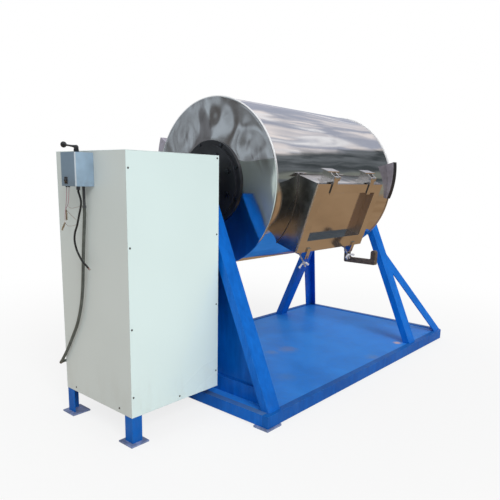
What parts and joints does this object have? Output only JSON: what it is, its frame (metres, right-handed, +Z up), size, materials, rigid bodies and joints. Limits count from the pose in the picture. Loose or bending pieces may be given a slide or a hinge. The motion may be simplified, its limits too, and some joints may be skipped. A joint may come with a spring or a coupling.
{
  "type": "industrial mixer",
  "caption": "Rotating drum mixer: polished horizontal drum with a clamped side door on a blue steel stand, belt driven from a tall square cabinet",
  "frame": {"origin": "on the floor, under the middle of the overall length and under the drum's axis", "axes": "+X along the drum's axis from the cabinet to the far stand, +Y to the back, away from the door, +Z up"},
  "size_m": [3.076, 1.416, 1.806],
  "materials": {
    "blue_paint": "glossy blue enamel over steel sections",
    "blue_deck": "blue enamel, dusty from use",
    "grey_paint": "worn grey paint",
    "cabinet_paint": "smooth pale greenish white enamel",
    "fastener_steel": "bright zinc or turned steel",
    "bearing_iron": "painted casting",
    "motor_paint": "grey-blue motor enamel",
    "belt_rubber": "dull black rubber",
    "box_sheet": "silver-grey enamel",
    "grey_plastic": "dark grey moulded plastic",
    "lead_sheath": "thin mauve-red insulation",
    "clip_brass": "worn plated brass",
    "polished_steel": "mirror-polished stainless sheet",
    "black_hub": "black enamel",
    "white_seal": "soft off-white rubber",
    "brown_casting": "dark brown casting with worn edges",
    "black_plastic": "glossy black moulding"
  },
  "bodies": {
    "frame": {"base_long_rails": "blue_paint", "base_cross_rails": "blue_paint", "deck_plate": "blue_deck", "base_pads": "grey_paint", "near_stand_legs": "blue_paint", "near_stand_rail": "blue_paint", "near_stand_panel": "blue_paint", "bearing_seats": "blue_paint", "far_stand_legs": "blue_paint", "far_stand_tie": "blue_paint", "far_stand_braces": "blue_paint", "bearing_housings": "bearing_iron", "mounting_bolts": "fastener_steel", "cabinet_uprights": "blue_paint", "cabinet_rails": "blue_paint", "cabinet_feet": "grey_paint", "cabinet_front_panel": "cabinet_paint", "cabinet_back_panel": "cabinet_paint", "cabinet_end_panel": "cabinet_paint", "cabinet_drum_side_panel": "cabinet_paint", "cabinet_top_panel": "cabinet_paint", "cabinet_screws": "fastener_steel", "motor_shelf": "blue_paint", "gearbox_housing": "motor_paint", "motor_body": "motor_paint", "motor_fan_cover": "motor_paint", "drive_belts": "belt_rubber", "control_box": "box_sheet", "box_fittings": "grey_plastic", "conduit": "grey_plastic", "power_cable": "belt_rubber", "test_leads": "lead_sheath", "clip_bodies": "clip_brass"},
    "drum": {"drum_shell": "polished_steel", "drum_end_plates": "polished_steel", "hub_flanges": "black_hub", "hub_bolts": "fastener_steel", "drum_shafts": "fastener_steel", "bearing_inserts": "fastener_steel", "driven_pulley": "bearing_iron", "mixing_blades": "polished_steel", "door_neck": "polished_steel", "door_brackets": "polished_steel", "door_pins": "fastener_steel", "rim_lugs": "polished_steel"},
    "door": {"door_panel": "polished_steel", "door_gasket": "white_seal", "door_straps": "polished_steel"},
    "left_bolt": {"left_swing_bolt": "fastener_steel"},
    "right_bolt": {"right_swing_bolt": "fastener_steel"},
    "left_nut": {"left_wing_nut": "fastener_steel"},
    "right_nut": {"right_wing_nut": "fastener_steel"},
    "lever": {"latch_lever": "brown_casting"},
    "drive_shaft": {"drive_pulley": "bearing_iron"},
    "rotor": {"motor_rotor": "fastener_steel"},
    "switch": {"switch_lever": "black_plastic"},
    "rocker": {"rocker_switch": "black_plastic"},
    "upper_jaw": {"upper_clip_jaw": "clip_brass"},
    "lower_jaw": {"lower_clip_jaw": "clip_brass"}
  },
  "joints": [
    {"name": "drum_spin", "type": "hinge", "parent": "frame", "child": "drum", "pos_m": [0, 0, 1.3], "axis": [1, 0, 0], "continuous": true},
    {"name": "drive_shaft_spin", "type": "hinge", "parent": "frame", "child": "drive_shaft", "pos_m": [-0.907, 0, 0.7], "axis": [1, 0, 0], "continuous": true},
    {"name": "motor_spin", "type": "hinge", "parent": "frame", "child": "rotor", "pos_m": [-1.227, 0, 0.7], "axis": [1, 0, 0], "continuous": true},
    {"name": "door_hinge", "type": "hinge", "parent": "drum", "child": "door", "pos_m": [-0.012, -0.65438, 1.33909], "axis": [-1, 0, 0], "range_deg": [0, 110]},
    {"name": "left_bolt_swing", "type": "hinge", "parent": "drum", "child": "left_bolt", "pos_m": [-0.272, -0.44027, 0.88928], "axis": [-1, 0, 0], "range_deg": [-53, 38]},
    {"name": "right_bolt_swing", "type": "hinge", "parent": "drum", "child": "right_bolt", "pos_m": [0.248, -0.44027, 0.88928], "axis": [-1, 0, 0], "range_deg": [-53, 38]},
    {"name": "left_nut_turn", "type": "hinge", "parent": "left_bolt", "child": "left_nut", "pos_m": [-0.272, -0.44027, 0.88928], "axis": [0, -0.5446, -0.8387], "range_deg": [-120, 120]},
    {"name": "right_nut_turn", "type": "hinge", "parent": "right_bolt", "child": "right_nut", "pos_m": [0.248, -0.44027, 0.88928], "axis": [0, -0.5446, -0.8387], "range_deg": [-120, 120]},
    {"name": "latch_lever_swing", "type": "hinge", "parent": "drum", "child": "lever", "pos_m": [0.31, -0.43983, 0.84502], "axis": [1, 0, 0], "range_deg": [0, 60]},
    {"name": "switch_lever_turn", "type": "hinge", "parent": "frame", "child": "switch", "pos_m": [-1.482, 0.023, 1.4], "axis": [0, 0, 1], "range_deg": [-45, 45]},
    {"name": "rocker_tilt", "type": "hinge", "parent": "frame", "child": "rocker", "pos_m": [-1.5245, 0.041, 1.301], "axis": [0, 1, 0], "range_deg": [0, 20]},
    {"name": "upper_clip_squeeze", "type": "hinge", "parent": "frame", "child": "upper_jaw", "pos_m": [-1.512, 0.084, 1.138], "axis": [-1, 0, 0], "range_deg": [0, 25], "stiffness_Nm_per_rad": 0.02, "springref_deg": -11.46},
    {"name": "lower_clip_squeeze", "type": "hinge", "parent": "frame", "child": "lower_jaw", "pos_m": [-1.519, 0.10132, 1.07739], "axis": [-1, 0, 0], "range_deg": [0, 25], "stiffness_Nm_per_rad": 0.02, "springref_deg": -11.46}
  ],
  "couplings": [
    {"joint": "drive_shaft_spin", "follows": "drum_spin", "ratio": 2},
    {"joint": "motor_spin", "follows": "drum_spin", "ratio": 60}
  ]
}
